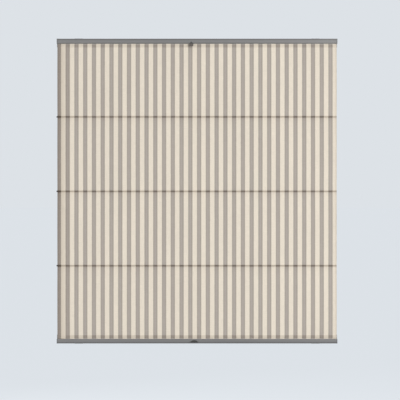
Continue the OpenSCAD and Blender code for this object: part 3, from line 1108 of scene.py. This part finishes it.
@dataclass
class Cloth:
    """The whole cloth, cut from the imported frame's own places."""

    finish: StripedCloth
    thread: SewingThread
    split_below_rod: float = 50 * MM
    notch: float = 10 * MM
    past_tip: float = 1 * MM

    def travel(self, joint: str) -> float:
        """Gives a joint's full travel in metres."""
        return next(j for j in frame["joints"] if j["name"] == joint)["range_m"][1]

    def ratio(self, joint: str) -> float:
        """Gives how much of its rail's travel a rod follows."""
        couplings = frame["record"]["behaviour"]["couplings"]
        return next(c for c in couplings if c["joint"] == joint)["ratio"]

    def panels(self, cut: ClothCut) -> list[ClothPanel]:
        """Lays the five panel pieces out between the rails and the rods.

        Args:
            cut: The cloth's sizes.

        Returns:
            The pieces, from the top down.
        """
        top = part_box("top_rail")[0].z
        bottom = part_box("bottom_rail")[1].z
        first, second, third = (centre_of(f"rod_{n}").z for n in (1, 2, 3))
        split = first - self.split_below_rod
        upper, lower = "top_rail_slide", "bottom_rail_slide"
        down, up = self.travel(upper), self.travel(lower)
        with_1, with_2, with_3 = (self.ratio(f"rod_{n}_slide") for n in (1, 2, 3))
        rod, rail, running = PanelEnd.CREASE, PanelEnd.RAIL, PanelEnd.RUNNING
        # The shares of each rail's travel by which the pieces gather, from the top down.
        of_down, of_up = (1 - with_1, with_1), (with_2, with_3 - with_2, 1 - with_3)
        losses = (*(down * share for share in of_down), *(up * share for share in of_up))
        # Name, low, high, their ends, body, joint, anchor, seed, and the whole's low and high.
        plan = (
            ("1", first, top, rod, rail, "rod_1", upper, first, 10, first, top),
            ("2_top", split, first, running, rod, "shoes", upper, split, 2, second, first),
            ("2", second, split, rod, running, "shoes", lower, split, 2, second, first),
            ("3", third, second, rod, rod, "rod_3", lower, third, 13, third, second),
            ("4", bottom, third, rail, rod, "bottom_rail", lower, bottom, 14, bottom, third),
        )
        return [
            ClothPanel(f"cloth_panel_{name}", cut, loss, *row)
            for loss, (name, *row) in zip(losses, plan)
        ]

    def pocket(self, cut: ClothCut, rod: str) -> RodPocket:
        """Lays a pocket out between its rod's tips, open at the rings.

        Args:
            cut: The cloth's sizes.
            rod: The rod's name.

        Returns:
            The pocket.
        """
        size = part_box(rod)
        half = self.notch / 2
        notches = [centre_of(f"{rod}_ring_{side}").x for side in ("left", "right")]
        starts = (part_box(f"{rod}_tip_left")[1].x + self.past_tip, *(x + half for x in notches))
        stops = (*(x - half for x in notches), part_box(f"{rod}_tip_right")[0].x - self.past_tip)
        radius, spans = (size[1].z - size[0].z) / 2, tuple(zip(starts, stops))
        name = rod.replace("rod_", "rod_pocket_")
        return RodPocket(name, cut, rod, centre_of(rod), radius, spans)

    def build(self) -> None:
        """Builds the five panel pieces and the three pockets."""
        cloth = self.finish.material()
        thread = self.thread.material()
        low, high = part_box("fabric")
        cut = ClothCut(width=high.x - low.x)
        for panel in self.panels(cut):
            panel.build(cloth, thread)
        for rod in ("rod_1", "rod_2", "rod_3"):
            self.pocket(cut, rod).build(cloth)


@dataclass
class HardFittings:
    """The rigid pieces that the frame brings, each with its own finish.

    Every finish stands under a part of its nodes' names, and the first that fits counts.
    """

    finishes: dict[str, AnodisedAluminium | MouldedPlastic]

    def dress(self) -> None:
        """Gives every rigid node its material."""
        built: dict[str, bpy.types.Material] = {}
        for name, node in frame["nodes"].items():
            if name == "fabric":
                continue
            finish = next(finish for part, finish in self.finishes.items() if part in name)
            if finish.name not in built:
                built[finish.name] = finish.material()
            if not node.material_slots:
                node.data.materials.append(None)
            for place in node.material_slots:
                place.material = built[finish.name]
            LOG.info("%s: %s", name, finish.name)


@dataclass(frozen=True)
class SoftLamp:
    """A large square lamp aimed at the middle of the blind."""

    name: str
    place: Point
    side: float
    power: float
    target: Point = (0.0, 0.0, -0.55)

    def light(self) -> None:
        """Adds the lamp to the scene."""
        data = bpy.data.lights.new(self.name, "AREA")
        data.shape, data.size, data.energy = "SQUARE", self.side, self.power
        lamp = add_object(self.name, data)
        lamp.location = self.place
        aim = Vector(self.target) - Vector(self.place)
        lamp.rotation_euler = aim.to_track_quat("-Z", "Y").to_euler()


@dataclass
class Studio:
    """A plain floor, soft lamps, the world and the camera."""

    floor: PlainBackground
    world_colour: Colour
    seen_colour: Colour
    world_strength: float
    lamps: Sequence[SoftLamp]
    floor_drop: float = 0.9
    floor_side: float = 400.0
    camera_place: Point = (0.0105, -4.166, -0.5753)
    lens: float = 105.0
    sensor: float = 36.0

    def build(self) -> None:
        """Sets the scene up around the object."""
        self.add_camera()
        self.add_floor()
        self.light_world()
        for lamp in self.lamps:
            lamp.light()
        bpy.context.scene.view_settings.view_transform = "Standard"

    def add_camera(self) -> None:
        """Adds the camera, level and square to the blind."""
        data = bpy.data.cameras.new("camera")
        data.lens, data.sensor_width = self.lens, self.sensor
        camera = add_object("camera", data)
        camera.location = self.camera_place
        camera.rotation_euler = (math.pi / 2, 0.0, 0.0)
        bpy.context.scene.camera = camera

    def add_floor(self) -> None:
        """Adds the floor below the blind."""
        half, z = self.floor_side / 2, CAD_BOX[0].z - self.floor_drop
        corners = [(x * half, y * half, z) for x, y in ((-1, -1), (1, -1), (1, 1), (-1, 1))]
        mesh = bpy.data.meshes.new("floor")
        mesh.from_pydata(corners, [], [(0, 1, 2, 3)])
        mesh.materials.append(self.floor.material())
        floor = add_object("floor", mesh)

    def light_world(self) -> None:
        """Lights the object evenly and shows a pale background to the camera."""
        world = bpy.data.worlds.new("world")
        world.use_nodes = True
        graph = NodeGraph(world.node_tree)
        lit = graph.tree.nodes["Background"]
        graph.feed(lit.inputs["Color"], (*self.world_colour, 1.0))
        graph.feed(lit.inputs["Strength"], self.world_strength)
        shown = graph.result("Background", (*self.seen_colour, 1.0))
        mixed = graph.result("MixShader", graph.seen(), lit.outputs[0], shown)
        graph.feed(graph.tree.nodes["World Output"].inputs["Surface"], mixed)
        bpy.context.scene.world = world


def main() -> None:
    """Builds the looks in order and notes the sizes."""
    logging.basicConfig(level=logging.INFO, format="%(name)s: %(message)s")
    Studio(
        floor=PlainBackground("pale_floor", linear(226, 230, 234), shown=linear(235, 241, 247)),
        world_colour=linear(252, 252, 253),
        seen_colour=linear(221, 226, 231),
        world_strength=0.5,
        lamps=(
            SoftLamp("key_lamp", place=(2.8, -3.4, 0.1), side=2.6, power=92.0),
            SoftLamp("fill_lamp", place=(-2.6, -3.4, -0.5), side=2.6, power=42.0),
            SoftLamp("back_lamp", place=(-1.4, 3.6, 0.9), side=2.0, power=60.0),
        ),
    ).build()
    HardFittings(
        {
            "_cap_": MouldedPlastic("end_cap_grey", linear(103, 104, 104), roughness=0.45),
            "_guide_": MouldedPlastic("guide_white", linear(198, 198, 195), roughness=0.35),
            "shoe_": MouldedPlastic("shoe_grey", linear(126, 127, 127)),
            # The upper grip's paler lower lip is painted light, with some finger wear.
            "top_grip": HandledLitPlastic(
                "upper_grip_dark_lit_lip", linear(66, 66, 65), roughness=0.42, lip_wear_and_light=linear(102, 95, 89)
            ),
            "bottom_grip": MouldedPlastic("lower_grip_dark", linear(70, 70, 69), roughness=0.42),
            "_carrier": MouldedPlastic("carrier_grey", linear(140, 140, 140)),
            "_tip_": MouldedPlastic("rod_tip_dark", linear(80, 80, 82)),
            "_ring_": MouldedPlastic("ring_pale", linear(205, 207, 205), roughness=0.3),
            # The two rails are copies of one anodised finish that differ in painted light: edge shade, edge
            # highlight and a slightly darker bottom rail.
            "top_rail": AnodisedAluminium(
                "anodised_top_rail_painted_edges", linear(132, 130, 128), upper_edge_painted_light=0.68, lower_edge_painted_light=0.86
            ),
            "bottom_rail": AnodisedAluminium(
                "anodised_bottom_rail_painted_edges", linear(128, 126, 124), upper_edge_painted_light=1.08, lower_edge_painted_light=0.6
            ),
            "rod_": AnodisedAluminium(
                "drawn_aluminium", linear(190, 190, 192), roughness=0.3, metallic=1.0
            ),
        }
    ).dress()
    Cloth(
        finish=StripedCloth(
            "striped_cloth",
            cream=linear(228, 217, 200),
            taupe=linear(170, 161, 151),
            taupe_core=linear(175, 166, 158),
        ),
        thread=SewingThread("hem_thread", linear(196, 187, 176)),
    ).build()


if __name__ == "__main__":
    main()
